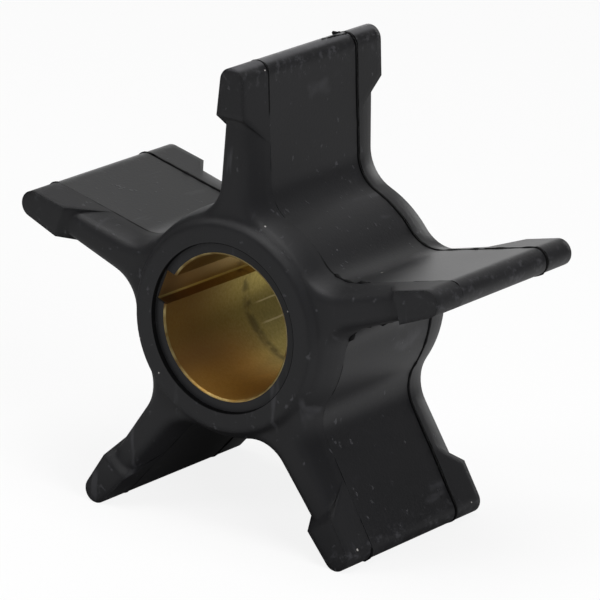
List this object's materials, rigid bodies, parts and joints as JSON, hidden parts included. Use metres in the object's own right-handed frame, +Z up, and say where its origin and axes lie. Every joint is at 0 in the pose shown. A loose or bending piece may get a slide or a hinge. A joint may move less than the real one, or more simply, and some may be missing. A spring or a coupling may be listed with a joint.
{
  "type": "flexible pump impeller",
  "caption": "Flexible rubber impeller with straight radial vanes and a keyed brass bush, for a raw-water or cooling pump.",
  "frame": {"origin": "on the shaft's axis, half-way along the impeller", "axes": "+Y along the shaft's axis towards the back, -Y is the front, +Z up along one vane, +X to the right seen from the front"},
  "size_m": [0.0654, 0.0302, 0.0624],
  "materials": {
    "rubber": "smooth moulded black rubber with a dull sheen",
    "brass": "machined brass, dulled, with fine scratches along the bore"
  },
  "bodies": {
    "root": {"impeller_body": "rubber", "hub_bush": "brass"}
  },
  "joints": []
}
